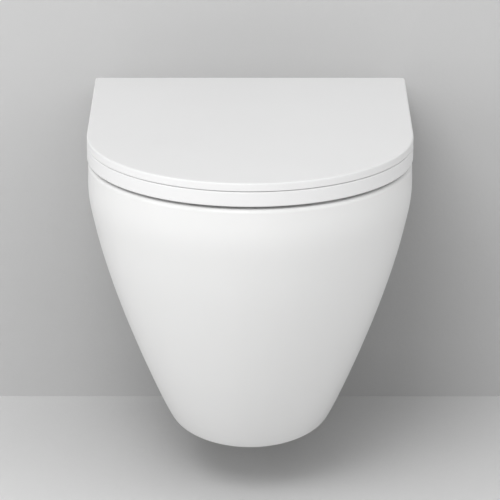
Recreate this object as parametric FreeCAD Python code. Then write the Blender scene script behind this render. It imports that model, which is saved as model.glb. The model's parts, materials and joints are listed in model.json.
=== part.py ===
"""Wall-hung toilet: a hollow ceramic pan with concealed wall fixings, and a slim D-shaped seat and lid
on soft-close hinges.

Millimetres. +Z is up, the wall is the plane Y = 0 and the pan stands out from it towards -Y. The origin
lies in the wall plane, midway between the two wall studs. "Reach" is a distance out from the wall.
"""
import FreeCAD, Part
import math
import os
from FreeCAD import Matrix, Vector

# ---- Ceramic pan: outer body -----------------------------------------------------------------------------
PAN_WIDTH = 358.0                 # across the rim
PAN_REACH = 519.0                 # wall to the front of the rim
PAN_HEIGHT = 330.0
RIM_ABOVE_STUDS = 80.0
RIM_ARC_DEPTH = 192.0             # length of the half ellipse that makes the front of the D at the rim
BASE_WIDTH = 182.0                # across the underside
BASE_REACH = 358.0
BASE_ARC_DEPTH = 137.0
LIP_HEIGHT = 29.0                 # upright band under the rim, above the tapering flank
FLANK_POWER = 1.36                # how slowly the flank leaves the upright lip
FLANK_SOFTNESS = 1.06
NOSE_POWER = 0.85                 # the front goes in a little later than the sides
ARC_POWER = 0.62
BASE_ROUND = 12.0
RIM_ROUND = 4.0
SKIRT_WALL = 12.0
DECK_THICKNESS = 16.0             # rim and rear deck
FLANK_STATIONS = 9                # sections of the tapering part

# ---- Ceramic pan: bowl, trap and flush ways --------------------------------------------------------------
BOWL_WALL = 11.0
RIM_WIDTH = 41.0                  # outside of the rim to the bowl's mouth, at the sides and the front
MOUTH_REAR_REACH = 166.0          # wall to the rear of the bowl's mouth
MOUTH_ROUND = 8.0
LEDGE_DROP = 40.0                 # rim down to the ledge that the flush runs along
LEDGE_WIDTH = 12.0
SUMP_FLOOR = 22.0                 # thickness under the sump
SUMP_WIDTH = 76.0
SUMP_LENGTH = 112.0
SUMP_CENTRE_REACH = 278.0
SUMP_ROUND = 20.0
BOWL_POWER = 1.3                  # fullness of the bowl's sides
BOWL_STATIONS = 6
TRAP_BORE = 60.0
TRAP_WALL = 13.0
TRAP_BEND = 46.0                  # centre-line radius of the trap's bends
TRAP_FLOOR_RISE = 2.0             # sump floor to the floor of the trap
TRAP_RISE = 139.0                 # centre line, from the dip up to the crown
TRAP_DIP_REACH = 184.0
TRAP_CROWN_REACH = 126.0
TRAP_LEVEL_REACH = 72.0
OUTLET_BELOW_STUDS = 100.0
OUTLET_SPIGOT = 102.0             # outside diameter
OUTLET_WALL = 10.0
OUTLET_LENGTH = 50.0
INLET_ABOVE_STUDS = 35.0
INLET_SOCKET = 55.0
INLET_DEPTH = 45.0
INLET_WALL = 9.0
DUCT_BORE = 43.0
CHAMBER_WIDTH = 90.0
CHAMBER_LENGTH = 34.0
CHAMBER_WALL = 10.0
SLOT_HEIGHT = 15.0
SLOT_ABOVE_LEDGE = 2.0

# ---- Wall fixings ----------------------------------------------------------------------------------------
STUD_SPACING = 180.0
STUD_HOLE = 13.0                  # for an M12 stud
BARREL_DIAMETER = 22.0
BARREL_LENGTH = 62.0
BARREL_POCKET = 3.0               # how far the side screw's tip goes into the barrel
SLEEVE_WALL = 1.3
SLEEVE_FLANGE = 32.0
SLEEVE_FLANGE_THICKNESS = 1.5
SLEEVE_START_REACH = 2.0
SIDE_SCREW = 8.0
SIDE_SCREW_REACH = 36.0
SIDE_SCREW_POINT = 1.5
SCREW_HEAD = 13.0
SCREW_HEAD_LENGTH = 4.5
SCREW_KEY = 5.0                   # across the flats of the hexagon socket
SCREW_KEY_DEPTH = 3.0
CAP_HEAD_GAP = 0.5                # screw head to the cap's plug
SCREW_BOSS = 26.0
FIXING_BLOCK_WIDTH = 40.0         # the ceramic block that the barrel slides into
FIXING_BLOCK_BEYOND_BARREL = 4.0
CAP_DIAMETER = 22.0
CAP_THICKNESS = 1.6
CAP_PLUG_DEPTH = 3.0
FIXING_CLEARANCE = 0.15

# ---- Flush guide -----------------------------------------------------------------------------------------
GUIDE_CLEARANCE = 0.3
GUIDE_DIVIDER = 14.0              # between its two openings
GUIDE_FRAME = 3.0
GUIDE_CLIP_WIDTH = 10.0
GUIDE_CLIP_LENGTH = 9.0

# ---- Seat and lid ----------------------------------------------------------------------------------------
SEAT_OVERHANG = 1.0               # past the pan's rim at the sides and the front
SEAT_GAP = 3.8                    # rim to the underside of the seat
SEAT_THICKNESS = 16.4
SEAT_EDGE_ROUND = 1.5
SEAT_CORNER_ROUND = 12.0
SEAT_REAR_GAP = 13.5              # hinge axis to the rear edge of the seat ring
SEAT_SIDE_LIP = 26.0              # bowl's mouth to the seat's opening
SEAT_END_LIP = 20.0
SEAT_DISH_WIDTH = 27.0
SEAT_DISH_DEPTH = 4.0
SEAT_INNER_ROUND = 3.0
LID_GAP = 1.0                     # seat to the edge of the lid
LID_THICKNESS = 8.6
LID_REAR_REACH = 93.0
LID_TOP_ROUND = 1.8
LID_CORNER_ROUND = 4.0
LID_LIP_WIDTH = 10.0
LID_RECESS = 3.2
LID_RECESS_FROM_HINGE = 20.0
LID_RECESS_ROUND = 8.0

# ---- Buffers ---------------------------------------------------------------------------------------------
REST_CLEARANCE = 0.3              # a buffer to what it rests on
BUFFER_FIT = 0.1
SEAT_BUFFER_LENGTH = 40.0
SEAT_BUFFER_WIDTH = 14.0
SEAT_BUFFER_STEM = 8.0
SEAT_BUFFER_STEM_DEPTH = 6.0
SEAT_BUFFER_ANGLE = 30.0          # of the front pair, round the rim from its front
SEAT_BUFFER_REAR_REACH = 215.0    # of the rear pair
LID_BUFFER_DIAMETER = 12.0
LID_BUFFER_STEM = 5.0
LID_BUFFER_STEM_DEPTH = 2.4
LID_BUFFER_ANGLE = 28.0
LID_BUFFER_REAR_REACH = 235.0
LID_BUFFER_INSET = 24.0           # edge of the lid to the middle of a buffer

# ---- Hinges ----------------------------------------------------------------------------------------------
HINGE_SPACING = 155.0             # between the seat holes in the deck
HINGE_DIAMETER = 15.0             # of the blocks and knuckles
HINGE_LID_CLEARANCE = 0.5
BLOCK_LENGTH = 31.0
BLOCK_FOOT_WIDTH = 12.0
KNUCKLE_WALL = 1.5
KNUCKLE_END = 4.5
KNUCKLE_GAP = 0.5
WEB_SET_BACK = 0.5                # a seat knuckle's web below the seat's top
PIN_DIAMETER = 6.0
PIN_DEPTH = 7.5                   # how far a pin or a damper's shaft goes into its block
PIN_FLATS = 5.0                   # across the flats that hold a damper's shaft in its block
PIN_END_CLEARANCE = 0.2
RUNNING_CLEARANCE = 0.05
CARTRIDGE_DEPTH = 28.0            # bore in a knuckle for its damper or bush
CARTRIDGE_FIT = 0.05
DAMPER_WALL = 1.4
DAMPER_END = 2.0                  # thickness of the damper's cap and of its closed end
ROTOR_DIAMETER = 7.0
VANE_CLEARANCE = 0.4
VANE_THICKNESS = 1.4
AXIAL_PLAY = 0.4
DECK_HOLE = 15.0
GASKET_THICKNESS = 0.6
GASKET_DIAMETER = 39.0
PLATE_THICKNESS = 1.6
PLATE_DIAMETER = 40.0
PLATE_EDGE_ROUND = 0.8
PLATE_SLOT = 5.0                  # play of the post along its base plate
POST_FLANGE = 12.0
POST_FLANGE_THICKNESS = 1.8
POST_DIAMETER = 8.0
POST_HEIGHT = 8.8
POST_FIT = 0.1
POST_GROOVE = 0.6
POST_GROOVE_WIDTH = 4.4
POST_KEY = 3.0                    # across the flats
POST_KEY_DEPTH = 4.0
SHANK_DIAMETER = 6.0
SHANK_CLEARANCE = 0.3
PLUG_CLEARANCE = 0.2
PLUG_TAIL = 14.0                  # length of the rubber plug below the deck
PLUG_BULGE = 2.0
NUT_LENGTH = 8.0
NUT_FLATS = 13.0
NUT_FIT = 0.05
SHANK_TAIL = 2.0                  # thread that shows below the nut
GRUB_DIAMETER = 4.0
GRUB_SINK = 0.2
GRUB_KEY = 2.0
GRUB_KEY_DEPTH = 1.2

# ---- Levels and places that follow from the sizes above --------------------------------------------------
OVERSHOOT = 1.0                   # how far a cutting tool runs past the face that it opens
RIM_Z = RIM_ABOVE_STUDS
BASE_Z = RIM_Z - PAN_HEIGHT
DECK_UNDER_Z = RIM_Z - DECK_THICKNESS
LEDGE_Z = RIM_Z - LEDGE_DROP
SUMP_Z = BASE_Z + SUMP_FLOOR
INLET_Z = INLET_ABOVE_STUDS
OUTLET_Z = -OUTLET_BELOW_STUDS
SLOT_Z = LEDGE_Z + SLOT_ABOVE_LEDGE
MOUTH_WIDTH = PAN_WIDTH - 2 * RIM_WIDTH
MOUTH_LENGTH = PAN_REACH - RIM_WIDTH - MOUTH_REAR_REACH
MOUTH_CENTRE_REACH = MOUTH_REAR_REACH + MOUTH_LENGTH / 2
BOWL_REAR_REACH = MOUTH_REAR_REACH - BOWL_WALL
TRAP_DIP_Z = SUMP_Z + TRAP_FLOOR_RISE + TRAP_BORE / 2
FIXING_BLOCK_DEPTH = BARREL_LENGTH + FIXING_BLOCK_BEYOND_BARREL
SEAT_WIDTH = PAN_WIDTH + 2 * SEAT_OVERHANG
SEAT_REACH = PAN_REACH + SEAT_OVERHANG
SEAT_ARC_DEPTH = RIM_ARC_DEPTH + SEAT_OVERHANG
SEAT_UNDER_Z = RIM_Z + SEAT_GAP
SEAT_TOP_Z = SEAT_UNDER_Z + SEAT_THICKNESS
LID_UNDER_Z = SEAT_TOP_Z + LID_GAP
LID_TOP_Z = LID_UNDER_Z + LID_THICKNESS
HINGE_RADIUS = HINGE_DIAMETER / 2
AXIS_Z = LID_UNDER_Z - HINGE_LID_CLEARANCE - HINGE_RADIUS
AXIS_REACH = LID_REAR_REACH + HINGE_RADIUS
SEAT_REAR_REACH = AXIS_REACH + SEAT_REAR_GAP
LID_RECESS_REAR_REACH = AXIS_REACH + HINGE_RADIUS + LID_RECESS_FROM_HINGE
CARTRIDGE_DIAMETER = HINGE_DIAMETER - 2 * KNUCKLE_WALL
KNUCKLE_LENGTH = CARTRIDGE_DEPTH + KNUCKLE_END
HINGE_X = HINGE_SPACING / 2
PLATE_UNDER_Z = RIM_Z + GASKET_THICKNESS
PLATE_TOP_Z = PLATE_UNDER_Z + PLATE_THICKNESS
POST_FOOT_Z = PLATE_TOP_Z + POST_FLANGE_THICKNESS
POST_TOP_Z = POST_FOOT_Z + POST_HEIGHT
GRUB_Z = POST_FOOT_Z + POST_HEIGHT / 2
PLUG_END_Z = DECK_UNDER_Z - PLUG_TAIL
NUT_END_Z = PLUG_END_Z - NUT_LENGTH
LEFT, RIGHT = -1, 1
SIDES = {"left": LEFT, "right": RIGHT}
KNUCKLE_FACE = {"seat": HINGE_X - BLOCK_LENGTH / 2 - KNUCKLE_GAP,
                "lid": HINGE_X + BLOCK_LENGTH / 2 + KNUCKLE_GAP}
KNUCKLE_WAY = {"seat": -1, "lid": 1}          # the seat's knuckles lie inside the blocks, the lid's outside
DAMPED = {"lid": RIGHT, "seat": LEFT}         # the other knuckle of each turns on a plain pin


# ---- Small helpers ---------------------------------------------------------------------------------------
def at(x, reach, z):
    """The point x across, reach out from the wall and z up."""
    return Vector(x, -reach, z)


def rod(radius, start, end):
    """A cylinder between two points."""
    along = end - start
    return Part.makeCylinder(radius, along.Length, start, along)


def cone(start_radius, end_radius, start, end):
    along = end - start
    return Part.makeCone(start_radius, end_radius, along.Length, start, along)


def block(x0, x1, reach0, reach1, z0, z1):
    """A box between two widths, two reaches and two levels."""
    low = Vector(min(x0, x1), -max(reach0, reach1), min(z0, z1))
    return Part.makeBox(abs(x1 - x0), abs(reach1 - reach0), abs(z1 - z0), low)


def hexagon_prism(across_flats, start, end):
    """A six-sided bar between two points, for key sockets and nuts."""
    radius = across_flats / math.sqrt(3)
    along = end - start
    turn = FreeCAD.Rotation(Vector(0, 0, 1), along)
    corners = []
    for i in range(7):
        angle = math.radians(60 * i)
        corners.append(start + turn.multVec(Vector(radius * math.cos(angle), radius * math.sin(angle), 0)))
    return Part.Face(Part.makePolygon(corners)).extrude(along)


def quarter_ellipse(start_angle, half_width, depth, centre_reach, z):
    """A quarter of an ellipse in plan, 90 degrees on from start_angle, as one spline edge."""
    points = []
    for step in (0, 45, 90):
        angle = math.radians(start_angle + step)
        points.append(Vector(math.cos(angle), math.sin(angle), 0))
    stretch = Matrix()
    stretch.scale(half_width, depth, 1)
    stretch.move(at(0, centre_reach, z))
    return Part.Arc(*points).toShape().transformGeometry(stretch)


def ellipse_wire(half_width, half_length, centre_reach, z):
    quarters = [quarter_ellipse(a, half_width, half_length, centre_reach, z) for a in (0, 90, 180, 270)]
    return Part.Wire(quarters)


def d_wire(half_width, front_reach, centre_reach, rear_reach, z):
    """A D in plan: straight rear and sides, and a half ellipse that ends at front_reach."""
    depth = front_reach - centre_reach
    right_rear, right_side = at(half_width, rear_reach, z), at(half_width, centre_reach, z)
    left_rear, left_side = at(-half_width, rear_reach, z), at(-half_width, centre_reach, z)
    return Part.Wire([
        Part.makeLine(left_rear, left_side),
        quarter_ellipse(180, half_width, depth, centre_reach, z),
        quarter_ellipse(270, half_width, depth, centre_reach, z),
        Part.makeLine(right_side, right_rear),
        Part.makeLine(right_rear, left_rear),
    ])


def slab(wire, height):
    return Part.Face(wire).extrude(Vector(0, 0, height))


def loft(wires):
    return Part.makeLoft(wires, True, False, False)


def edges_at_level(shape, z, tolerance=0.05):
    """The edges that lie wholly at one level."""
    return [e for e in shape.Edges
            if abs(e.BoundBox.ZMin - z) < tolerance and abs(e.BoundBox.ZMax - z) < tolerance]


def clear_of_rear(edges, rear_reach):
    """Leaves out the straight edge along the rear."""
    return [e for e in edges if e.BoundBox.YMin < -rear_reach - 0.05]


def rounded_path(points, radius):
    """Straight runs joined by tangent arcs of one radius."""
    edges, start = [], points[0]
    for before, corner, after in zip(points, points[1:], points[2:]):
        back, ahead = (before - corner).normalize(), (after - corner).normalize()
        half_angle = back.getAngle(ahead) / 2
        reach = radius / math.tan(half_angle)
        middle = corner + (back + ahead).normalize() * (radius / math.sin(half_angle) - radius)
        arc_start, arc_end = corner + back * reach, corner + ahead * reach
        edges.append(Part.makeLine(start, arc_start))
        edges.append(Part.Arc(arc_start, middle, arc_end).toShape())
        start = arc_end
    edges.append(Part.makeLine(start, points[-1]))
    return Part.Wire(edges)


def pipe(path, radius):
    """A solid rod of one radius that follows a path."""
    start, direction = path.Edges[0].valueAt(path.Edges[0].FirstParameter), path.Edges[0].tangentAt(0)
    ring = Part.Wire(Part.makeCircle(radius, start, direction))
    return path.makePipeShell([ring], True, False)


# ---- Ceramic pan -----------------------------------------------------------------------------------------
def body_section(z, outset=0.0, rear_reach=0.0):
    """The pan's outline in plan at one level; outset moves it out all round except at the wall."""
    drop = (RIM_Z - z - LIP_HEIGHT) / (PAN_HEIGHT - LIP_HEIGHT)
    share = (1 - max(drop, 0.0) ** FLANK_POWER) ** FLANK_SOFTNESS if drop < 1 else 0.0
    half_width = (BASE_WIDTH + (PAN_WIDTH - BASE_WIDTH) * share) / 2
    front = BASE_REACH + (PAN_REACH - BASE_REACH) * share ** NOSE_POWER
    rim_centre, base_centre = PAN_REACH - RIM_ARC_DEPTH, BASE_REACH - BASE_ARC_DEPTH
    centre = base_centre + (rim_centre - base_centre) * share ** ARC_POWER
    return d_wire(half_width + outset, front + outset, centre, rear_reach, z)


def body_half_width(z):
    """Middle of the pan to its side at one level."""
    return body_section(z).BoundBox.XMax


def body_loft(top, bottom, outset=0.0, rear_reach=0.0):
    """The pan's outer form between two levels, smooth through its sections."""
    lip_foot = RIM_Z - LIP_HEIGHT
    levels = [top]
    if top > lip_foot > bottom:
        levels += [(top + lip_foot) / 2, lip_foot]
    start = levels[-1]
    levels += [start + (bottom - start) * i / FLANK_STATIONS for i in range(1, FLANK_STATIONS + 1)]
    return loft([body_section(z, outset, rear_reach) for z in levels])


def outer_body():
    """The pan's whole outer form, cut flat at the wall."""
    body = body_loft(RIM_Z, BASE_Z, 0, -OVERSHOOT)
    body = body.makeFillet(BASE_ROUND, clear_of_rear(edges_at_level(body, BASE_Z), -OVERSHOOT))
    body = body.makeFillet(RIM_ROUND, clear_of_rear(edges_at_level(body, RIM_Z), -OVERSHOOT))
    return body.cut(block(-PAN_WIDTH, PAN_WIDTH, -2 * OVERSHOOT, 0, BASE_Z - OVERSHOOT, RIM_Z + OVERSHOOT))


def skirt_hollow():
    """The space inside the skirt, open towards the wall."""
    return body_loft(DECK_UNDER_Z, BASE_Z + SKIRT_WALL, -SKIRT_WALL, -OVERSHOOT)


def bowl_section(z, wall):
    """An oval in plan, from the ledge down to the sump."""
    share = ((LEDGE_Z - z) / (LEDGE_Z - SUMP_Z)) ** BOWL_POWER
    half_width = MOUTH_WIDTH / 2 - LEDGE_WIDTH + (SUMP_WIDTH / 2 - MOUTH_WIDTH / 2 + LEDGE_WIDTH) * share
    half_length = MOUTH_LENGTH / 2 - LEDGE_WIDTH + (SUMP_LENGTH / 2 - MOUTH_LENGTH / 2 + LEDGE_WIDTH) * share
    centre = MOUTH_CENTRE_REACH + (SUMP_CENTRE_REACH - MOUTH_CENTRE_REACH) * share
    return half_width + wall, half_length + wall, centre


def bowl_loft(wall):
    levels = [LEDGE_Z + (SUMP_Z - LEDGE_Z) * i / BOWL_STATIONS for i in range(BOWL_STATIONS + 1)]
    return loft([ellipse_wire(*bowl_section(z, wall), z - wall) for z in levels])


def mouth_column(wall, top, bottom):
    wire = ellipse_wire(MOUTH_WIDTH / 2 + wall, MOUTH_LENGTH / 2 + wall, MOUTH_CENTRE_REACH, bottom)
    return slab(wire, top - bottom)


def bowl_space():
    """The inside of the bowl: an upright mouth, a ledge and an oval funnel down to the sump."""
    funnel = bowl_loft(0)
    funnel = funnel.makeFillet(SUMP_ROUND, edges_at_level(funnel, SUMP_Z))
    return mouth_column(0, RIM_Z + OVERSHOOT, LEDGE_Z).fuse(funnel)


def bowl_mass():
    """The bowl with its wall, as if it were filled."""
    return mouth_column(BOWL_WALL, DECK_UNDER_Z + OVERSHOOT, LEDGE_Z - BOWL_WALL).fuse(bowl_loft(BOWL_WALL))


def trap_path():
    return rounded_path([
        at(0, SUMP_CENTRE_REACH, TRAP_DIP_Z),
        at(0, TRAP_DIP_REACH, TRAP_DIP_Z),
        at(0, TRAP_CROWN_REACH, TRAP_DIP_Z + TRAP_RISE),
        at(0, TRAP_LEVEL_REACH, OUTLET_Z),
    ], TRAP_BEND)


def trap_run(wall, outlet_wall, beyond_wall):
    """The trap from the sump over its crown to the outlet, as a solid rod; walls are added to its bore."""
    radius = TRAP_BORE / 2 + wall
    outlet_radius = OUTLET_SPIGOT / 2 - OUTLET_WALL + outlet_wall
    level, flare = at(0, TRAP_LEVEL_REACH, OUTLET_Z), at(0, OUTLET_LENGTH, OUTLET_Z)
    pieces = [
        Part.makeSphere(radius, level),
        cone(radius, outlet_radius, level, flare),
        rod(outlet_radius, flare, at(0, -beyond_wall, OUTLET_Z)),
    ]
    return pipe(trap_path(), radius).fuse(pieces)


def chamber(wall):
    """The flush chamber at the end of the duct, with its wall under the deck; the bowl closes its front."""
    top = DECK_UNDER_Z + OVERSHOOT if wall else SLOT_Z + SLOT_HEIGHT
    box = block(-CHAMBER_WIDTH / 2 - wall, CHAMBER_WIDTH / 2 + wall,
                BOWL_REAR_REACH - CHAMBER_LENGTH - wall, MOUTH_CENTRE_REACH,
                INLET_Z - DUCT_BORE / 2 - wall, top)
    return box.cut(bowl_mass())


def slot(clearance):
    """The space from the chamber through the bowl's rear wall."""
    return block(-CHAMBER_WIDTH / 2 + clearance, CHAMBER_WIDTH / 2 - clearance,
                 BOWL_REAR_REACH, MOUTH_CENTRE_REACH,
                 SLOT_Z + clearance, SLOT_Z + SLOT_HEIGHT - clearance)


def duct(radius, start_reach):
    return rod(radius, at(0, start_reach, INLET_Z), at(0, BOWL_REAR_REACH - CHAMBER_LENGTH / 2, INLET_Z))


def flush_space():
    """Inlet socket, duct, chamber and the slot into the bowl."""
    socket = rod(INLET_SOCKET / 2, at(0, -OVERSHOOT, INLET_Z), at(0, INLET_DEPTH, INLET_Z))
    return [socket, duct(DUCT_BORE / 2, INLET_DEPTH - OVERSHOOT), chamber(0),
            slot(0).common(mouth_column(BOWL_WALL + OVERSHOOT, RIM_Z, LEDGE_Z))]


def screw_axis(side, x):
    return at(side * x, SIDE_SCREW_REACH, 0)


def sleeve_radius():
    return BARREL_DIAMETER / 2 + FIXING_CLEARANCE + SLEEVE_WALL


def screw_hole_radius():
    return SIDE_SCREW / 2 + 2 * FIXING_CLEARANCE


def head_shoulder():
    """How far out the shoulder lies that the side screw's head bears on."""
    return body_half_width(0) - CAP_PLUG_DEPTH - CAP_HEAD_GAP - SCREW_HEAD_LENGTH


def fixing_holes():
    made = []
    for side in (LEFT, RIGHT):
        x = side * STUD_SPACING / 2
        made.append(rod(sleeve_radius() + FIXING_CLEARANCE, at(x, -OVERSHOOT, 0),
                        at(x, FIXING_BLOCK_DEPTH + OVERSHOOT, 0)))
        made.append(rod(screw_hole_radius(), screw_axis(side, STUD_SPACING / 2), screw_axis(side, PAN_WIDTH)))
        made.append(rod(SCREW_HEAD / 2 + 2 * FIXING_CLEARANCE, screw_axis(side, head_shoulder()),
                        screw_axis(side, PAN_WIDTH)))
    return made


def deck_holes():
    low, high = DECK_UNDER_Z - OVERSHOOT, RIM_Z + OVERSHOOT
    return [rod(DECK_HOLE / 2, hinge_foot(side, low), hinge_foot(side, high)) for side in (LEFT, RIGHT)]


def mouth_edges(body):
    """The edge where the bowl opens through the rim."""
    box = ellipse_wire(MOUTH_WIDTH / 2, MOUTH_LENGTH / 2, MOUTH_CENTRE_REACH, RIM_Z).BoundBox
    box.enlarge(0.1)
    return [e for e in edges_at_level(body, RIM_Z) if box.isInside(e.BoundBox)]


def pan_shell():
    """The outer casting: skirt, underside, rim and rear deck."""
    body = outer_body().cut([skirt_hollow(), mouth_column(0, RIM_Z + OVERSHOOT, DECK_UNDER_Z - OVERSHOOT)])
    body = body.cut(fixing_holes() + deck_holes())
    return body.makeFillet(MOUTH_ROUND, mouth_edges(body))


def pan_bowl():
    """The inner casting, from the deck's underside down to the sump."""
    body = bowl_mass().common(skirt_hollow())
    return body.cut([bowl_space(), trap_run(0, 0, OVERSHOOT)] + flush_space())


def pan_trap():
    """The trap with its outlet, joined to the rear of the bowl."""
    body = trap_run(TRAP_WALL, OUTLET_WALL, 0).common(skirt_hollow())
    return body.cut([bowl_mass(), trap_run(0, 0, OVERSHOOT)])


def pan_flush_way():
    """Inlet socket, duct and chamber, joined to the deck's underside and the rear of the bowl."""
    body = rod(INLET_SOCKET / 2 + INLET_WALL, at(0, 0, INLET_Z), at(0, INLET_DEPTH + INLET_WALL, INLET_Z))
    body = body.fuse([duct(DUCT_BORE / 2 + INLET_WALL, INLET_DEPTH), chamber(CHAMBER_WALL)])
    return body.common(skirt_hollow()).cut([bowl_mass()] + flush_space())


def fixing_block(side):
    """The ceramic block that takes the barrel, with the boss that leads the side screw to the skirt."""
    middle, half_width = side * STUD_SPACING / 2, FIXING_BLOCK_WIDTH / 2
    body = block(middle - half_width, middle + half_width, 0, FIXING_BLOCK_DEPTH,
                 -half_width, DECK_UNDER_Z + OVERSHOOT)
    boss = rod(SCREW_BOSS / 2, screw_axis(side, STUD_SPACING / 2), screw_axis(side, PAN_WIDTH / 2))
    return body.fuse(boss).common(skirt_hollow()).cut(fixing_holes())


def flush_guide():
    """The insert that fills the slot at the rear of the bowl and parts the flush to both sides."""
    frame = slot(GUIDE_CLEARANCE).cut(mouth_column(0, RIM_Z, LEDGE_Z))
    inner = CHAMBER_WIDTH / 2 - GUIDE_CLEARANCE - GUIDE_FRAME
    for side in (LEFT, RIGHT):
        frame = frame.cut(block(side * GUIDE_DIVIDER / 2, side * inner,
                                BOWL_REAR_REACH - OVERSHOOT, MOUTH_CENTRE_REACH,
                                SLOT_Z + GUIDE_CLEARANCE + GUIDE_FRAME,
                                SLOT_Z + SLOT_HEIGHT - GUIDE_CLEARANCE - GUIDE_FRAME))
    clip = block(-GUIDE_CLIP_WIDTH / 2, GUIDE_CLIP_WIDTH / 2,
                 BOWL_REAR_REACH - GUIDE_CLIP_LENGTH, BOWL_REAR_REACH + OVERSHOOT,
                 SLOT_Z + SLOT_HEIGHT - GUIDE_CLEARANCE - GUIDE_FRAME, SLOT_Z + SLOT_HEIGHT - GUIDE_CLEARANCE)
    return frame.fuse(clip)


# ---- Wall fixings ----------------------------------------------------------------------------------------
def fixing_barrel(side):
    """The round bar on the wall stud, with the pocket that the side screw's tip presses into."""
    x = side * STUD_SPACING / 2
    bar = rod(BARREL_DIAMETER / 2, at(x, 0, 0), at(x, BARREL_LENGTH, 0))
    bore = rod(STUD_HOLE / 2, at(x, -OVERSHOOT, 0), at(x, BARREL_LENGTH + OVERSHOOT, 0))
    pocket = rod(screw_hole_radius(), screw_axis(side, screw_tip()), screw_axis(side, PAN_WIDTH))
    return bar.cut([bore, pocket])


def screw_tip():
    """How far out the tip of the side screw lies."""
    return STUD_SPACING / 2 + BARREL_DIAMETER / 2 - BARREL_POCKET


def barrel_sleeve(side):
    """The plastic sleeve between the barrel and the ceramic, with a flange inside the skirt."""
    x = side * STUD_SPACING / 2
    flange_start, flange_end = FIXING_BLOCK_DEPTH, FIXING_BLOCK_DEPTH + SLEEVE_FLANGE_THICKNESS
    tube = rod(sleeve_radius(), at(x, SLEEVE_START_REACH, 0), at(x, flange_end, 0))
    flange = rod(SLEEVE_FLANGE / 2, at(x, flange_start, 0), at(x, flange_end, 0))
    bore = rod(BARREL_DIAMETER / 2 + FIXING_CLEARANCE, at(x, 0, 0), at(x, flange_end + OVERSHOOT, 0))
    screw_way = rod(screw_hole_radius(), screw_axis(side, STUD_SPACING / 2), screw_axis(side, PAN_WIDTH))
    return tube.fuse(flange).cut([bore, screw_way])


def fixing_screw(side):
    """The screw that goes in through the side of the skirt and holds the pan on the barrel."""
    shoulder, tip = head_shoulder(), screw_tip()
    head_end = shoulder + SCREW_HEAD_LENGTH
    shank = rod(SIDE_SCREW / 2, screw_axis(side, tip + SIDE_SCREW_POINT), screw_axis(side, shoulder))
    point = cone(SIDE_SCREW / 2 - SIDE_SCREW_POINT, SIDE_SCREW / 2,
                 screw_axis(side, tip), screw_axis(side, tip + SIDE_SCREW_POINT))
    head = rod(SCREW_HEAD / 2, screw_axis(side, shoulder), screw_axis(side, head_end))
    key = hexagon_prism(SCREW_KEY, screw_axis(side, head_end - SCREW_KEY_DEPTH),
                        screw_axis(side, head_end + OVERSHOOT))
    return head.fuse([shank, point]).cut(key)


def screw_cap(side):
    """The round cap over the side screw: its flange lies on the skirt and follows its form."""
    surface = body_loft(RIM_Z, BASE_Z)
    column = rod(CAP_DIAMETER / 2, screw_axis(side, head_shoulder()), screw_axis(side, PAN_WIDTH))
    flange = column.common(body_loft(RIM_Z, BASE_Z, CAP_THICKNESS)).cut(surface)
    plug = rod(SCREW_HEAD / 2, screw_axis(side, body_half_width(0) - CAP_PLUG_DEPTH),
               screw_axis(side, PAN_WIDTH)).common(surface)
    return flange.fuse(plug)


# ---- Hinges ----------------------------------------------------------------------------------------------
def hinge_foot(side, z):
    """A point on the upright centre line of one hinge."""
    return at(side * HINGE_X, AXIS_REACH, z)


def in_knuckle(side, leaf, depth):
    """The point on the hinge axis at a depth into a knuckle, from its face beside the block."""
    return at(side * (KNUCKLE_FACE[leaf] + KNUCKLE_WAY[leaf] * depth), AXIS_REACH, AXIS_Z)


def hinge_rod(radius, side, leaf, start, end):
    """A cylinder on the hinge axis between two depths into a knuckle."""
    return rod(radius, in_knuckle(side, leaf, start), in_knuckle(side, leaf, end))


def pin_end(clearance=0.0):
    """The depth, outside the knuckle, where a pin ends inside its block."""
    return -KNUCKLE_GAP - PIN_DEPTH - clearance


def flatted_shaft(side, leaf, clearance, start):
    """The end of a damper's shaft in its block: a rod with two flats, from start out to the block's face."""
    half_flats = PIN_FLATS / 2 + clearance
    near, far = in_knuckle(side, leaf, start), in_knuckle(side, leaf, -KNUCKLE_GAP)
    flats = block(near.x, far.x, AXIS_REACH - PIN_DIAMETER, AXIS_REACH + PIN_DIAMETER,
                  AXIS_Z - half_flats, AXIS_Z + half_flats)
    return rod(PIN_DIAMETER / 2 + clearance, near, far).common(flats)


def base_gasket(side):
    disc = rod(GASKET_DIAMETER / 2, hinge_foot(side, RIM_Z), hinge_foot(side, PLATE_UNDER_Z))
    return disc.cut(rod(DECK_HOLE / 2, hinge_foot(side, RIM_Z), hinge_foot(side, PLATE_UNDER_Z)))


def base_plate(side):
    """A round plate with a slot, so that the seat can be moved a little on the rim."""
    disc = rod(PLATE_DIAMETER / 2, hinge_foot(side, PLATE_UNDER_Z), hinge_foot(side, PLATE_TOP_Z))
    disc = disc.makeFillet(PLATE_EDGE_ROUND, edges_at_level(disc, PLATE_TOP_Z))
    radius = SHANK_DIAMETER / 2 + SHANK_CLEARANCE
    play = Vector(PLATE_SLOT / 2, 0, 0)
    low, high = hinge_foot(side, PLATE_UNDER_Z), hinge_foot(side, PLATE_TOP_Z)
    ends = [rod(radius, low + way, high + way) for way in (play, play * -1)]
    middle = block(low.x - play.x, low.x + play.x, AXIS_REACH - radius, AXIS_REACH + radius,
                   PLATE_UNDER_Z, PLATE_TOP_Z)
    return disc.cut(ends + [middle])


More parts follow.
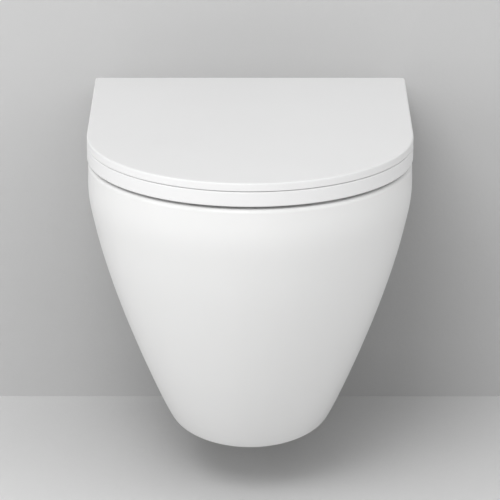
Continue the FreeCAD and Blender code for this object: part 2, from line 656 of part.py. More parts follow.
def hinge_post(side):
    """The threaded post: it clamps the base plate, and the hinge block is pushed onto its head."""
    flange = rod(POST_FLANGE / 2, hinge_foot(side, PLATE_TOP_Z), hinge_foot(side, POST_FOOT_Z))
    head = rod(POST_DIAMETER / 2, hinge_foot(side, POST_FOOT_Z), hinge_foot(side, POST_TOP_Z))
    shank = rod(SHANK_DIAMETER / 2, hinge_foot(side, NUT_END_Z - SHANK_TAIL), hinge_foot(side, PLATE_TOP_Z))
    low = hinge_foot(side, GRUB_Z - POST_GROOVE_WIDTH / 2)
    high = hinge_foot(side, GRUB_Z + POST_GROOVE_WIDTH / 2)
    groove = rod(POST_DIAMETER, low, high).cut(rod(POST_DIAMETER / 2 - POST_GROOVE, low, high))
    key = hexagon_prism(POST_KEY, hinge_foot(side, POST_TOP_Z - POST_KEY_DEPTH),
                        hinge_foot(side, POST_TOP_Z + OVERSHOOT))
    return flange.fuse([head, shank]).cut([groove, key])


def hinge_block(side):
    """The round-backed block between a seat knuckle and a lid knuckle; it holds a pin at each end."""
    near, far = HINGE_X - BLOCK_LENGTH / 2, HINGE_X + BLOCK_LENGTH / 2
    barrel = rod(HINGE_RADIUS, at(side * near, AXIS_REACH, AXIS_Z), at(side * far, AXIS_REACH, AXIS_Z))
    foot = block(side * near, side * far, AXIS_REACH - BLOCK_FOOT_WIDTH / 2,
                 AXIS_REACH + BLOCK_FOOT_WIDTH / 2, POST_FOOT_Z, AXIS_Z)
    socket = rod(POST_DIAMETER / 2 + POST_FIT, hinge_foot(side, POST_FOOT_Z - OVERSHOOT),
                 hinge_foot(side, POST_TOP_Z + POST_FIT))
    grub_way = rod(GRUB_DIAMETER / 2 + RUNNING_CLEARANCE, hinge_foot(side, GRUB_Z),
                   at(side * HINGE_X, LID_REAR_REACH - OVERSHOOT, GRUB_Z))
    ways = [socket, grub_way]
    for leaf in KNUCKLE_WAY:
        start = pin_end(PIN_END_CLEARANCE)
        if DAMPED[leaf] == side:
            ways.append(flatted_shaft(side, leaf, RUNNING_CLEARANCE, start))
        else:
            ways.append(hinge_rod(PIN_DIAMETER / 2 + RUNNING_CLEARANCE, side, leaf, start, -KNUCKLE_GAP))
    return barrel.fuse(foot).cut(ways)


def grub_screw(side):
    """The small screw at the rear of the block that locks it on its post."""
    tip = AXIS_REACH - POST_DIAMETER / 2 + POST_GROOVE
    end = AXIS_REACH - BLOCK_FOOT_WIDTH / 2 + GRUB_SINK
    x = side * HINGE_X
    screw = rod(GRUB_DIAMETER / 2, at(x, tip, GRUB_Z), at(x, end, GRUB_Z))
    return screw.cut(hexagon_prism(GRUB_KEY, at(x, end + GRUB_KEY_DEPTH, GRUB_Z),
                                   at(x, end - OVERSHOOT, GRUB_Z)))


def expansion_plug(side):
    """The rubber tube in the deck hole; the nut squeezes it out below the deck."""
    radius = DECK_HOLE / 2 - PLUG_CLEARANCE
    middle_z = (DECK_UNDER_Z + PLUG_END_Z) / 2
    tube = rod(radius, hinge_foot(side, PLUG_END_Z), hinge_foot(side, PLATE_UNDER_Z))
    lower = cone(radius, radius + PLUG_BULGE, hinge_foot(side, PLUG_END_Z), hinge_foot(side, middle_z))
    upper = cone(radius + PLUG_BULGE, radius, hinge_foot(side, middle_z), hinge_foot(side, DECK_UNDER_Z))
    bore = rod(SHANK_DIAMETER / 2 + SHANK_CLEARANCE, hinge_foot(side, PLUG_END_Z),
               hinge_foot(side, PLATE_UNDER_Z))
    return tube.fuse([lower, upper]).cut(bore)


def clamp_nut(side):
    start, end = hinge_foot(side, NUT_END_Z), hinge_foot(side, PLUG_END_Z)
    return hexagon_prism(NUT_FLATS, start, end).cut(rod(SHANK_DIAMETER / 2 + NUT_FIT, start, end))


def damper_body(leaf):
    """The cup of a rotary damper; it turns with its knuckle."""
    side = DAMPED[leaf]
    radius = CARTRIDGE_DIAMETER / 2 - CARTRIDGE_FIT
    cup = hinge_rod(radius, side, leaf, DAMPER_END, CARTRIDGE_DEPTH)
    return cup.cut(hinge_rod(radius - DAMPER_WALL, side, leaf, DAMPER_END, CARTRIDGE_DEPTH - DAMPER_END))


def damper_cap(leaf):
    side = DAMPED[leaf]
    disc = hinge_rod(CARTRIDGE_DIAMETER / 2 - CARTRIDGE_FIT, side, leaf, 0, DAMPER_END)
    return disc.cut(hinge_rod(PIN_DIAMETER / 2 + RUNNING_CLEARANCE, side, leaf, 0, DAMPER_END))


def damper_rotor(leaf):
    """Shaft, drum and two vanes; its flatted end is held in the block."""
    side = DAMPED[leaf]
    drum_start, drum_end = DAMPER_END + AXIAL_PLAY, CARTRIDGE_DEPTH - DAMPER_END - AXIAL_PLAY
    shaft = hinge_rod(PIN_DIAMETER / 2, side, leaf, -KNUCKLE_GAP, drum_start)
    drum = hinge_rod(ROTOR_DIAMETER / 2, side, leaf, drum_start, drum_end)
    near, far = in_knuckle(side, leaf, drum_start), in_knuckle(side, leaf, drum_end)
    vane_reach = CARTRIDGE_DIAMETER / 2 - CARTRIDGE_FIT - DAMPER_WALL - VANE_CLEARANCE
    vanes = block(near.x, far.x, AXIS_REACH - vane_reach, AXIS_REACH + vane_reach,
                  AXIS_Z - VANE_THICKNESS / 2, AXIS_Z + VANE_THICKNESS / 2)
    return drum.fuse([shaft, flatted_shaft(side, leaf, 0, pin_end()), vanes])


def pivot_pin(leaf):
    """The plain pin of the knuckle that has no damper."""
    return hinge_rod(PIN_DIAMETER / 2, -DAMPED[leaf], leaf, pin_end(),
                     CARTRIDGE_DEPTH - DAMPER_END - AXIAL_PLAY)


def pivot_bush(leaf):
    side = -DAMPED[leaf]
    cup = hinge_rod(CARTRIDGE_DIAMETER / 2 - CARTRIDGE_FIT, side, leaf, 0, CARTRIDGE_DEPTH)
    return cup.cut(hinge_rod(PIN_DIAMETER / 2 + RUNNING_CLEARANCE, side, leaf, 0,
                             CARTRIDGE_DEPTH - DAMPER_END))


# ---- Seat, lid and their buffers -------------------------------------------------------------------------
def seat_outline(inset, rear_reach, z):
    """The D that the seat and the lid share, moved in all round except at the rear."""
    return d_wire(SEAT_WIDTH / 2 - inset, SEAT_REACH - inset, SEAT_REACH - SEAT_ARC_DEPTH, rear_reach, z)


def d_plate(inset, rear_reach, bottom, top, corner_round):
    """A D-shaped plate with its two rear corners rounded in plan."""
    plate = slab(seat_outline(inset, rear_reach, bottom), top - bottom)
    corners = [e for e in plate.Edges if e.BoundBox.ZLength > (top - bottom) / 2
               and abs(e.BoundBox.YMin + rear_reach) < OVERSHOOT]
    return plate.makeFillet(corner_round, corners)


def opening_wire(growth, z):
    """The seat's opening in plan, over the bowl's mouth."""
    return ellipse_wire(MOUTH_WIDTH / 2 - SEAT_SIDE_LIP + growth, MOUTH_LENGTH / 2 - SEAT_END_LIP + growth,
                        MOUTH_CENTRE_REACH, z)


def knuckles(leaf, web):
    """A leaf's two knuckles; web(start, end) joins one to its leaf between two places across."""
    made = []
    for side in (LEFT, RIGHT):
        start, end = in_knuckle(side, leaf, 0), in_knuckle(side, leaf, KNUCKLE_LENGTH)
        made += [rod(HINGE_RADIUS, start, end), web(start.x, end.x)]
    return made


def cartridge_bores(leaf):
    return [hinge_rod(CARTRIDGE_DIAMETER / 2, side, leaf, -OVERSHOOT, CARTRIDGE_DEPTH)
            for side in (LEFT, RIGHT)]


def seat_web(start, end):
    return block(start, end, AXIS_REACH, SEAT_REAR_REACH + SEAT_CORNER_ROUND,
                 AXIS_Z - HINGE_RADIUS, SEAT_TOP_Z - WEB_SET_BACK)


def lid_web(start, end):
    return block(start, end, LID_REAR_REACH, AXIS_REACH + HINGE_RADIUS, AXIS_Z,
                 LID_UNDER_Z + LID_THICKNESS / 4)


def seat_buffer_places():
    """Place and turn of each buffer under the seat, on the middle of the rim."""
    half_width = (PAN_WIDTH + MOUTH_WIDTH) / 4
    half_length = (PAN_REACH - MOUTH_CENTRE_REACH + MOUTH_LENGTH / 2) / 2
    angle = math.radians(SEAT_BUFFER_ANGLE)
    x, forward = half_width * math.sin(angle), half_length * math.cos(angle)
    turn = math.degrees(math.atan2(half_length * math.sin(angle), half_width * math.cos(angle)))
    front = [(side * x, MOUTH_CENTRE_REACH + forward, side * turn) for side in (LEFT, RIGHT)]
    rear = [(side * half_width, SEAT_BUFFER_REAR_REACH, 90) for side in (LEFT, RIGHT)]
    return front, rear


def lid_buffer_places():
    half_width = SEAT_WIDTH / 2 - LID_BUFFER_INSET
    angle = math.radians(LID_BUFFER_ANGLE)
    x = half_width * math.sin(angle)
    reach = SEAT_REACH - SEAT_ARC_DEPTH + (SEAT_ARC_DEPTH - LID_BUFFER_INSET) * math.cos(angle)
    front = [(side * x, reach) for side in (LEFT, RIGHT)]
    rear = [(side * half_width, LID_BUFFER_REAR_REACH) for side in (LEFT, RIGHT)]
    return front, rear


def seat_stem(x, reach, growth):
    return rod(SEAT_BUFFER_STEM / 2 + growth, at(x, reach, SEAT_UNDER_Z - OVERSHOOT),
               at(x, reach, SEAT_UNDER_Z + SEAT_BUFFER_STEM_DEPTH + growth))


def lid_stem(x, reach, growth):
    roof_z = LID_UNDER_Z + LID_RECESS
    return rod(LID_BUFFER_STEM / 2 + growth, at(x, reach, roof_z - OVERSHOOT),
               at(x, reach, roof_z + LID_BUFFER_STEM_DEPTH + growth))


def seat_ring():
    """A D-shaped ring, dished towards its opening, with a knuckle beside each hinge block."""
    ring = d_plate(0, SEAT_REAR_REACH, SEAT_UNDER_Z, SEAT_TOP_Z, SEAT_CORNER_ROUND)
    for z in (SEAT_UNDER_Z, SEAT_TOP_Z):
        ring = ring.makeFillet(SEAT_EDGE_ROUND, edges_at_level(ring, z))
    dish_z = SEAT_TOP_Z - SEAT_DISH_DEPTH
    slope = SEAT_DISH_WIDTH / SEAT_DISH_DEPTH
    dish = loft([opening_wire(0, dish_z), opening_wire(SEAT_DISH_WIDTH + slope * OVERSHOOT,
                                                      SEAT_TOP_Z + OVERSHOOT)])
    opening = slab(opening_wire(0, SEAT_UNDER_Z - OVERSHOOT), SEAT_THICKNESS + OVERSHOOT)
    ring = ring.cut([dish, opening])
    ring = ring.makeFillet(SEAT_INNER_ROUND, edges_at_level(ring, dish_z))
    ring = ring.fuse(knuckles("seat", seat_web)).cut(cartridge_bores("seat"))
    front, rear = seat_buffer_places()
    return ring.cut([seat_stem(x, reach, BUFFER_FIT) for x, reach, turn in front + rear])


def lid():
    """A thin D-shaped plate with a rounded top edge, a shallow recess below and two knuckles."""
    plate = d_plate(0, LID_REAR_REACH, LID_UNDER_Z, LID_TOP_Z, LID_CORNER_ROUND)
    plate = plate.makeFillet(LID_TOP_ROUND, edges_at_level(plate, LID_TOP_Z))
    recess = d_plate(LID_LIP_WIDTH, LID_RECESS_REAR_REACH, LID_UNDER_Z - OVERSHOOT,
                     LID_UNDER_Z + LID_RECESS, LID_RECESS_ROUND)
    plate = plate.cut(recess).fuse(knuckles("lid", lid_web)).cut(cartridge_bores("lid"))
    front, rear = lid_buffer_places()
    return plate.cut([lid_stem(x, reach, BUFFER_FIT) for x, reach in front + rear])


def seat_buffers(places):
    """Oblong pads under the seat, each with a stem in the seat's underside."""
    made = []
    for x, reach, turn in places:
        half_run = (SEAT_BUFFER_LENGTH - SEAT_BUFFER_WIDTH) / 2
        low, high = at(x, reach, RIM_Z + REST_CLEARANCE), at(x, reach, SEAT_UNDER_Z)
        run = Vector(half_run * math.cos(math.radians(turn)), half_run * math.sin(math.radians(turn)), 0)
        bar = block(x - half_run, x + half_run, reach - SEAT_BUFFER_WIDTH / 2, reach + SEAT_BUFFER_WIDTH / 2,
                    low.z, high.z)
        bar.rotate(low, Vector(0, 0, 1), turn)
        ends = [rod(SEAT_BUFFER_WIDTH / 2, low + way, high + way) for way in (run, run * -1)]
        made.append(bar.fuse(ends + [seat_stem(x, reach, 0)]))
    return Part.Compound(made)


def lid_buffers(places):
    """Round pads in the lid's recess that rest on the seat."""
    made = []
    for x, reach in places:
        pad = rod(LID_BUFFER_DIAMETER / 2, at(x, reach, SEAT_TOP_Z + REST_CLEARANCE),
                  at(x, reach, LID_UNDER_Z + LID_RECESS))
        made.append(pad.fuse(lid_stem(x, reach, 0)))
    return Part.Compound(made)


# ---- The whole assembly ----------------------------------------------------------------------------------
def all_pieces():
    """Every node's name and its shape."""
    pieces = {make.__name__: make() for make in (pan_shell, pan_bowl, pan_trap, pan_flush_way, flush_guide,
                                                 seat_ring, lid)}
    for name, side in SIDES.items():
        for make in (fixing_block, fixing_barrel, barrel_sleeve, fixing_screw, screw_cap, base_gasket, base_plate,
                     hinge_post, hinge_block, grub_screw, expansion_plug, clamp_nut):
            pieces[name + "_" + make.__name__] = make(side)
    for leaf in KNUCKLE_WAY:
        for make in (damper_body, damper_cap, damper_rotor, pivot_pin, pivot_bush):
            pieces[leaf + "_" + make.__name__] = make(leaf)
    pieces["seat_front_buffers"], pieces["seat_rear_buffers"] = map(seat_buffers, seat_buffer_places())
    pieces["lid_front_buffers"], pieces["lid_rear_buffers"] = map(lid_buffers, lid_buffer_places())
    return pieces


def write_pieces():
    os.makedirs("parts", exist_ok=True)
    for name, shape in all_pieces().items():
        solids = shape.Solids
        whole = solids[0] if len(solids) == 1 else Part.Compound(solids)
        whole.exportStep("parts/%s.step" % name)
        print("%-24s solids %d  valid %s  volume %.2f cm3" % (
            name, len(solids), all(s.isValid() for s in solids), whole.Volume / 1000))


write_pieces()
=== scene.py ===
"""Looks of the wall-hung toilet: materials, wall and floor, light and camera.

Metres, in the frame of the CAD part: the wall is the plane Y = 0, +Z is up and the pan stands out towards -Y.
"""

import json
import math

import bpy
import numpy as np
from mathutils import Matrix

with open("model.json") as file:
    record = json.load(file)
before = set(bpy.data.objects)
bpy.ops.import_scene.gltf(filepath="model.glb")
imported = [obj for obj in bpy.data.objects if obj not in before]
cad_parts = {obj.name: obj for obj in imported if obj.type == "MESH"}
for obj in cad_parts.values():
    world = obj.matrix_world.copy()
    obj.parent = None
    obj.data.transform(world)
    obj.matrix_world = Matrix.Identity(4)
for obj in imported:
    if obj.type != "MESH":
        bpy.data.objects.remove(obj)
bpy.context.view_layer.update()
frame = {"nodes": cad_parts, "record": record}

# ---- Camera, as fitted to the photograph -----------------------------------------------------------------
CAMERA_PLACE = (-0.0001, -4.119, 1.199)
CAMERA_PITCH = math.radians(17.90)      # down from the horizon
CAMERA_LENS = 257.5                     # mm
CAMERA_SENSOR = 36.0                    # mm
CAMERA_SIGHT = 50.0                     # the farthest that it sees

# ---- Light -----------------------------------------------------------------------------------------------
# name, place, the point that it faces, side of its square, watts
LAMPS = (
    ("key_softbox", (-0.53, -2.52, 2.04), (0.0, -0.2, -0.1), 1.2, 38.0),
    ("overhead_softbox", (0.0, -0.9, 2.9), (0.0, -0.2, 0.0), 1.8, 4.5),
    ("left_softbox", (-2.6, -1.6, 0.9), (0.0, -0.2, 0.0), 1.8, 21.5),
    ("right_softbox", (2.6, -1.6, 0.9), (0.0, -0.2, 0.0), 1.8, 12.0),
)
STUDIO_LIGHT = 0.45                     # from all round

# ---- Wall and floor --------------------------------------------------------------------------------------
FLOOR_LEVEL = -0.320                    # the studs are 320 mm above the floor
WALL_GAP = 0.0006                       # the pan's ground rear face to the stage wall
STAGE_SIDE = 6.0                        # from the middle to either end
STAGE_TOP = 5.0
STAGE_FRONT = -9.0
REAR_DEPTH = 0.0001                     # rear points lie this close to the wall's plane
REAR_INSET = 0.988                      # the opening in the wall behind the pan, as a share of its rear face

WALL_COLOUR = (0.61, 0.61, 0.61)
WALL_GRAIN = 160.0                      # scale of its fine relief
WALL_ROUGHNESS = 0.7
WALL_PAINTED_SHADE_FROM = (0.0, -0.62, 0.78)      # the direction that the painted shade takes most of the wall's light to come from
FLOOR_COLOUR = (0.78, 0.78, 0.78)
FLOOR_GRAIN = 120.0
FLOOR_ROUGHNESS = 0.6
# The direction that the painted shade takes most of the floor's light to come from.
FLOOR_PAINTED_SHADE_FROM = (0.0, -0.7, 0.71)

# Painted shade: ambient occlusion darkens the colour of the wall and floor round the pan.
PAINTED_SHADE_REACH = 0.40                      # how far from the pan the painted shade on the wall and floor reaches
PAINTED_SHADE_DEPTH = 0.66                      # share of the colour that the painted shade takes away where all the light is hidden
PAINTED_SHADE_SAMPLES = 16
STAGE_MOTTLE = 2.3                      # scale of its soft patches
STAGE_MOTTLE_LOW = 0.985
STAGE_ROUGHNESS_VARY = 0.04
STAGE_RELIEF = 0.00015
STAGE_SPECULAR = 0.2

# ---- Scales of the surface patterns, and how strongly they show ------------------------------------------
GLAZE_WAVES = 7.0
GLAZE_PEEL = 240.0
GLAZE_DRIFT = 3.1
PEEL_SHARE = 0.012                      # height of the peel as a share of the waves
GLAZE_LOW_TONE = 0.982
GLAZE_ROUGHNESS = (-0.02, 0.03)         # added to the gloss

MELT_FLOW = 5.0
MELT_LOW_TONE = 0.985

DRAWN_STRETCH = (1.0, 1.0, 34.0)        # the lines run across a piece, so they are close along its height
DRAWN_LINES = 90.0
DRAWN_STREAKS = (-0.06, 0.08)
DRAWN_LOW_TONE = 0.94
SMUDGES = 60.0
SMUDGE_ROUGHNESS = (-0.01, 0.03)

MOTTLE = 28.0
MATT_ROUGHNESS = (0.62, 0.8)

GROUND_DEPTH = 0.0004                   # how far in from the wall the glaze is ground away
GROUND_COLOUR = (0.72, 0.70, 0.66)
GROUND_ROUGHNESS = 0.85

MIX_SOCKETS = {"RGBA": (6, 7, 2), "FLOAT": (2, 3, 0)}     # a mix node's first, second and result, by its kind
EFFECT = ("Tone", "Roughness", "Height")                  # what each shared surface effect gives


# ---- Node helpers ----------------------------------------------------------------------------------------
def find_socket(node, name):
    """The input with a name, its blanks written as underscores, or the one with the number after an i."""
    if name[0] == "i" and name[1:].isdigit():
        return node.inputs[int(name[1:])]
    return node.inputs[name.replace("_", " ")]


def add(tree, kind, settings=(), **sockets):
    """A node of one kind. settings are its properties and sockets its inputs, values or outputs to link."""
    made = tree.nodes.new(kind)
    for name, value in dict(settings).items():
        setattr(made, name, value)
    for name, value in sockets.items():
        socket = find_socket(made, name)
        if isinstance(value, bpy.types.NodeSocket):
            tree.links.new(value, socket)
        else:
            socket.default_value = value
    return made


def find_node(tree, kind):
    return next(node for node in tree.nodes if node.type == kind)


def math_node(tree, operation, first, second):
    return add(tree, "ShaderNodeMath", {"operation": operation}, i0=first, i1=second).outputs[0]


def spread(tree, value, low, high, from_low=0.3, from_high=0.7):
    """value, mapped to low..high. A noise mostly keeps between 0.3 and 0.7."""
    made = add(tree, "ShaderNodeMapRange", Value=value, From_Min=from_low, From_Max=from_high, To_Min=low,
               To_Max=high)
    return made.outputs["Result"]


def noise(tree, place, scale, detail=2.0, roughness=0.5):
    made = add(tree, "ShaderNodeTexNoise", Vector=place, Scale=scale, Detail=detail, Roughness=roughness)
    return made.outputs["Fac"]


def mix(tree, kind, share, first, second, blend="MIX"):
    """first and second, mixed by share, as colours (RGBA) or as numbers (FLOAT)."""
    first_at, second_at, result_at = MIX_SOCKETS[kind]
    made = add(tree, "ShaderNodeMix", {"data_type": kind, "blend_type": blend},
               **{"i0": share, f"i{first_at}": first, f"i{second_at}": second})
    return made.outputs[result_at]


def new_group(name, inputs):
    """A shader group with named number sockets. Returns (tree, its input node's outputs, its output node)."""
    tree = bpy.data.node_groups.new(name, "ShaderNodeTree")
    for label, value in inputs.items():
        made = tree.interface.new_socket(label, in_out="INPUT", socket_type="NodeSocketFloat")
        made.default_value = value
    for label in EFFECT:
        tree.interface.new_socket(label, in_out="OUTPUT", socket_type="NodeSocketFloat")
    return tree, tree.nodes.new("NodeGroupInput").outputs, tree.nodes.new("NodeGroupOutput")


def object_place(tree, stretch=(1.0, 1.0, 1.0)):
    place = add(tree, "ShaderNodeTexCoord").outputs["Object"]
    return add(tree, "ShaderNodeMapping", Vector=place, Scale=stretch).outputs["Vector"]


def finish_group(tree, result, *values):
    for label, value in zip(EFFECT, values):
        tree.links.new(value, result.inputs[label])
    return tree


# ---- Shared surface effects ------------------------------------------------------------------------------
def glaze_group():
    """Fired glaze: long slow waves, a fine peel, and a tone that drifts a little over the piece."""
    tree, given, result = new_group("fired_glaze", {"Wave": 1.0, "Peel": 1.0, "Gloss": 0.14})
    place = object_place(tree)
    waves = noise(tree, place, GLAZE_WAVES, 1.0)
    peel = noise(tree, place, GLAZE_PEEL, 2.0)
    drift = noise(tree, place, GLAZE_DRIFT, 3.0)
    slow = math_node(tree, "MULTIPLY", waves, given["Wave"])
    fine = math_node(tree, "MULTIPLY", math_node(tree, "MULTIPLY", peel, given["Peel"]), PEEL_SHARE)
    height = math_node(tree, "ADD", slow, fine)
    rough = math_node(tree, "ADD", given["Gloss"], spread(tree, drift, *GLAZE_ROUGHNESS))
    return finish_group(tree, result, spread(tree, drift, GLAZE_LOW_TONE, 1.0), rough, height)


def moulding_group():
    """Moulded plastic: a fine even peel, and a gloss that varies with the flow of the melt."""
    tree, given, result = new_group("moulded_surface", {"Grain": 700.0, "Gloss": 0.2, "Vary": 0.03})
    place = object_place(tree)
    flow = noise(tree, place, MELT_FLOW, 2.0, 0.6)
    grain = noise(tree, place, given["Grain"])
    vary = math_node(tree, "MULTIPLY", spread(tree, flow, -1.0, 1.0), given["Vary"])
    rough = math_node(tree, "ADD", given["Gloss"], vary)
    return finish_group(tree, result, spread(tree, flow, MELT_LOW_TONE, 1.0), rough, grain)


def drawn_metal_group():
    """Drawn or ground metal: fine lines across the piece, with soft smudges in its shine."""
    tree, given, result = new_group("drawn_metal", {"Lines": 1.0, "Gloss": 0.25})
    lines = noise(tree, object_place(tree, DRAWN_STRETCH), DRAWN_LINES, 3.0, 0.6)
    smudge = noise(tree, object_place(tree), SMUDGES, 2.0)
    streaks = math_node(tree, "MULTIPLY", spread(tree, lines, *DRAWN_STREAKS), given["Lines"])
    streaked = math_node(tree, "ADD", given["Gloss"], streaks)
    rough = math_node(tree, "ADD", streaked, spread(tree, smudge, *SMUDGE_ROUGHNESS))
    return finish_group(tree, result, spread(tree, lines, DRAWN_LOW_TONE, 1.0), rough, lines)


def matt_skin_group():
    """Rubber and thinly glazed clay: a grainy matt skin with a mottled tone."""
    tree, given, result = new_group("matt_skin", {"Grain": 900.0, "Mottle": 0.05})
    place = object_place(tree)
    mottle = noise(tree, place, MOTTLE, 3.0, 0.6)
    grain = noise(tree, place, given["Grain"], 3.0)
    lost = math_node(tree, "MULTIPLY", spread(tree, mottle, 0.0, 1.0), given["Mottle"])
    tone = math_node(tree, "SUBTRACT", 1.0, lost)
    return finish_group(tree, result, tone, spread(tree, grain, *MATT_ROUGHNESS), grain)


# ---- Materials -------------------------------------------------------------------------------------------
def base_material(name):
    material = bpy.data.materials.new(name)
    material.use_nodes = True
    tree = material.node_tree
    return material, tree, find_node(tree, "BSDF_PRINCIPLED")


def tinted(tree, tone, colour):
    """colour, scaled by a tone near 1."""
    return mix(tree, "RGBA", 1.0, (*colour, 1.0), tone, "MULTIPLY")


def surface(name, group, colour, bump, settings, **shader_values):
    """A material whose colour, roughness and bump come from a shared group."""
    material, tree, shader = base_material(name)
    detail = tree.nodes.new("ShaderNodeGroup")
    detail.node_tree = group
    for label, value in settings.items():
        detail.inputs[label].default_value = value
    tree.links.new(tinted(tree, detail.outputs["Tone"], colour), shader.inputs["Base Color"])
    tree.links.new(detail.outputs["Roughness"], shader.inputs["Roughness"])
    relief = add(tree, "ShaderNodeBump", Height=detail.outputs["Height"], Distance=bump, Strength=1.0)
    tree.links.new(relief.outputs["Normal"], shader.inputs["Normal"])
    for label, value in shader_values.items():
        find_socket(shader, label).default_value = value
    return material


def ground_rear(material):
    """The face that is ground flat for the wall carries no glaze: matt, and a little darker."""
    tree = material.node_tree
    shader = find_node(tree, "BSDF_PRINCIPLED")
    place = add(tree, "ShaderNodeTexCoord").outputs["Object"]
    reach = add(tree, "ShaderNodeSeparateXYZ", Vector=place).outputs["Y"]
    bare = spread(tree, reach, 0.0, 1.0, -GROUND_DEPTH, -GROUND_DEPTH / 2)
    for label, kind, ground in (("Base Color", "RGBA", (*GROUND_COLOUR, 1.0)),
                                ("Roughness", "FLOAT", GROUND_ROUGHNESS)):
        glazed = shader.inputs[label].links[0].from_socket
        tree.links.new(mix(tree, kind, bare, glazed, ground), shader.inputs[label])
    return material


GLAZE, MOULDING, DRAWN, MATT = glaze_group(), moulding_group(), drawn_metal_group(), matt_skin_group()

ceramic = ground_rear(surface(
    "white_glazed_ceramic", GLAZE, (0.86, 0.86, 0.855), 0.0006, {"Wave": 1.0, "Peel": 1.0, "Gloss": 0.3},
    Coat_Weight=0.18, Coat_Roughness=0.1, Specular_IOR_Level=0.38))
raw_ceramic = surface(
    "thin_glazed_ceramic", MATT, (0.80, 0.79, 0.765), 0.00008, {"Grain": 500.0, "Mottle": 0.06},
    Specular_IOR_Level=0.3)
seat_plastic = surface(
    "white_thermoset", MOULDING, (0.86, 0.86, 0.86), 0.000012, {"Grain": 420.0, "Gloss": 0.34, "Vary": 0.03},
    Coat_Weight=0.1, Coat_Roughness=0.14, Specular_IOR_Level=0.38)
white_plastic = surface(
    "white_moulding", MOULDING, (0.83, 0.83, 0.83), 0.00001, {"Grain": 900.0, "Gloss": 0.34, "Vary": 0.04})
nylon = surface(
    "natural_nylon", MOULDING, (0.76, 0.75, 0.70), 0.00002, {"Grain": 1300.0, "Gloss": 0.5, "Vary": 0.05},
    Subsurface_Weight=0.05)
rubber = surface(
    "pale_grey_rubber", MATT, (0.62, 0.62, 0.61), 0.00004, {"Grain": 1500.0, "Mottle": 0.08},
    Specular_IOR_Level=0.35)
chrome = surface(
    "polished_chrome", DRAWN, (0.80, 0.81, 0.83), 0.000001, {"Lines": 0.15, "Gloss": 0.07}, Metallic=1.0)
steel = surface(
    "drawn_steel", DRAWN, (0.60, 0.60, 0.61), 0.000006, {"Lines": 1.0, "Gloss": 0.3}, Metallic=1.0)
brass = surface(
    "turned_brass", DRAWN, (0.72, 0.55, 0.27), 0.000006, {"Lines": 0.8, "Gloss": 0.28}, Metallic=1.0)

BY_SLOT = {"ceramic": ceramic, "seat_plastic": seat_plastic, "white_plastic": white_plastic, "nylon": nylon,
           "rubber": rubber, "polished_metal": chrome, "steel": steel, "brass": brass}
HIDDEN_CERAMIC = ("pan_trap", "pan_flush_way", "left_fixing_block", "right_fixing_block")


def dress_nodes():
    """Gives each CAD node the material of its slot.

    The ceramic that is never seen in use has a thinner glaze.
    """
    for entry in frame["record"]["subparts"]:
        shape = frame["nodes"][entry["node"]]
        material = raw_ceramic if entry["node"] in HIDDEN_CERAMIC else BY_SLOT[entry["material_slot"]]
        shape.data.materials.clear()
        shape.data.materials.append(material)


dress_nodes()


# ---- Wall and floor --------------------------------------------------------------------------------------
def flat_piece(name, outlines, material):
    """A stage piece of flat faces, one for each outline. It casts no shadow itself."""
    corners = [corner for outline in outlines for corner in outline]
    starts = np.cumsum([0] + [len(outline) for outline in outlines])
    mesh = bpy.data.meshes.new(name)
    mesh.from_pydata(corners, [], [tuple(range(a, b)) for a, b in zip(starts[:-1], starts[1:])])
    mesh.materials.append(material)
    made = bpy.data.objects.new(name, mesh)
    bpy.context.scene.collection.objects.link(made)
    made.visible_shadow = False


def rear_outline():
    """The right half of the pan's rear face, from its foot up: (half width, height) pairs.

    Of the points that lie in the wall's plane, those are kept where a line drawn round the outside turns
    left. The line is drawn in a little towards its middle.
    """
    shell = frame["nodes"]["pan_shell"]
    points = np.array([tuple(shell.matrix_world @ vertex.co) for vertex in shell.data.vertices])
    rear = {(abs(float(x)), float(z)) for x, y, z in points if y > -REAR_DEPTH}
    chain = []
    for x, z in sorted(rear, key=lambda point: (point[1], point[0])):
        while len(chain) > 1:
            (ax, az), (bx, bz) = chain[-2:]
            if (bx - ax) * (z - bz) - (bz - az) * (x - bx) > 0.0:
                break
            chain.pop()
        chain.append((x, z))
    middle = (chain[0][1] + chain[-1][1]) / 2.0
    return [(x * REAR_INSET, middle + (z - middle) * REAR_INSET) for x, z in chain]


def stage_material(name, colour, grain, roughness, painted_shade_from):
    """Matt paint or screed, seen from its front only.

    Its colour carries painted shade: it is darker where what stands by it hides the direction that its light
    comes from.
    """
    material, tree, shader = base_material(name)
    place = object_place(tree)
    mottle = spread(tree, noise(tree, place, STAGE_MOTTLE, 4.0, 0.6), STAGE_MOTTLE_LOW, 1.0)
    towards = add(tree, "ShaderNodeCombineXYZ", X=painted_shade_from[0], Y=painted_shade_from[1], Z=painted_shade_from[2]).outputs["Vector"]
    # Ambient occlusion, turned into painted shade on the base colour.
    seen = add(tree, "ShaderNodeAmbientOcclusion", {"samples": PAINTED_SHADE_SAMPLES}, Distance=PAINTED_SHADE_REACH,
               Normal=towards).outputs["AO"]
    shade = spread(tree, seen, 1.0 - PAINTED_SHADE_DEPTH, 1.0, 0.0, 1.0)
    # The tone is the random mottle times the painted shade.
    tone = math_node(tree, "MULTIPLY", mottle, shade)
    fine = noise(tree, place, grain, 3.0)
    rough = spread(tree, fine, roughness - STAGE_ROUGHNESS_VARY, roughness + STAGE_ROUGHNESS_VARY)
    relief = add(tree, "ShaderNodeBump", Height=fine, Distance=STAGE_RELIEF, Strength=1.0)
    tree.links.new(tinted(tree, tone, colour), shader.inputs["Base Color"])
    tree.links.new(rough, shader.inputs["Roughness"])
    tree.links.new(relief.outputs["Normal"], shader.inputs["Normal"])
    shader.inputs["Specular IOR Level"].default_value = STAGE_SPECULAR
    behind = add(tree, "ShaderNodeNewGeometry").outputs["Backfacing"]
    clear = add(tree, "ShaderNodeBsdfTransparent").outputs[0]
    mixed = add(tree, "ShaderNodeMixShader", i0=behind, i1=shader.outputs[0], i2=clear)
    tree.links.new(mixed.outputs[0], find_node(tree, "OUTPUT_MATERIAL").inputs["Surface"])
    return material


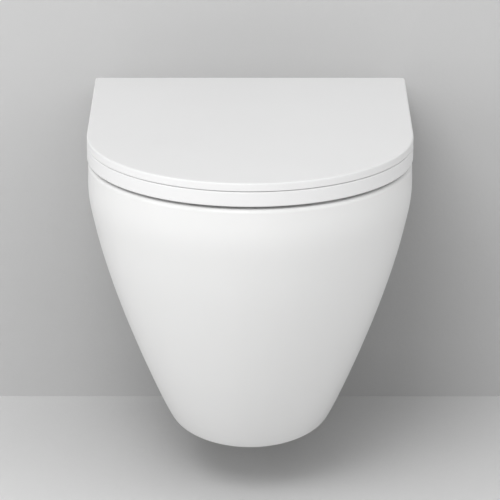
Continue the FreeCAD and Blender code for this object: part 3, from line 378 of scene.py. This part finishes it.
def make_stage():
    """The wall is open behind the pan, where nobody sees it, so that the rear isn't dark from behind."""
    rear = rear_outline()
    foot, head = rear[0][1], rear[-1][1]
    half = [(0.0, FLOOR_LEVEL), (STAGE_SIDE, FLOOR_LEVEL), (STAGE_SIDE, STAGE_TOP), (0.0, STAGE_TOP),
            (0.0, head), *reversed(rear), (0.0, foot)]
    right = [(x, WALL_GAP, z) for x, z in half]
    left = [(-x, WALL_GAP, z) for x, z in reversed(half)]
    # Both stage materials carry painted shade round the pan.
    flat_piece("stage_wall", [right, left],
               stage_material("wall_paint_with_painted_shade", WALL_COLOUR, WALL_GRAIN, WALL_ROUGHNESS, WALL_PAINTED_SHADE_FROM))
    floor = [(-STAGE_SIDE, STAGE_FRONT, FLOOR_LEVEL), (STAGE_SIDE, STAGE_FRONT, FLOOR_LEVEL),
             (STAGE_SIDE, WALL_GAP, FLOOR_LEVEL), (-STAGE_SIDE, WALL_GAP, FLOOR_LEVEL)]
    flat_piece("stage_floor", [floor],
               stage_material("pale_floor_with_painted_shade", FLOOR_COLOUR, FLOOR_GRAIN, FLOOR_ROUGHNESS, FLOOR_PAINTED_SHADE_FROM))


make_stage()


# ---- Light and camera ------------------------------------------------------------------------------------
def aim_square_lamp(name, place, target, size, power):
    """A square area lamp that faces a point."""
    lamp = bpy.data.lights.new(name, "AREA")
    lamp.shape, lamp.size, lamp.energy = "SQUARE", size, power
    made = bpy.data.objects.new(name, lamp)
    made.location = place
    ahead = np.array(target) - np.array(place)
    flat = math.hypot(ahead[0], ahead[1])
    made.rotation_euler = (math.pi / 2 + math.atan2(ahead[2], flat), 0.0, math.atan2(-ahead[0], ahead[1]))
    bpy.context.scene.collection.objects.link(made)


def light_scene():
    for lamp in LAMPS:
        aim_square_lamp(*lamp)
    world = bpy.data.worlds.new("even_studio")
    world.use_nodes = True
    world.node_tree.nodes["Background"].inputs["Color"].default_value = (1.0, 1.0, 1.0, 1.0)
    world.node_tree.nodes["Background"].inputs["Strength"].default_value = STUDIO_LIGHT
    bpy.context.scene.world = world


def place_camera():
    camera = bpy.data.cameras.new("camera")
    camera.lens, camera.sensor_width, camera.clip_end = CAMERA_LENS, CAMERA_SENSOR, CAMERA_SIGHT
    made = bpy.data.objects.new("camera", camera)
    made.location = CAMERA_PLACE
    made.rotation_euler = (math.pi / 2 - CAMERA_PITCH, 0.0, 0.0)
    bpy.context.scene.collection.objects.link(made)
    bpy.context.scene.camera = made


light_scene()
place_camera()
bpy.context.scene.view_settings.view_transform = "Standard"
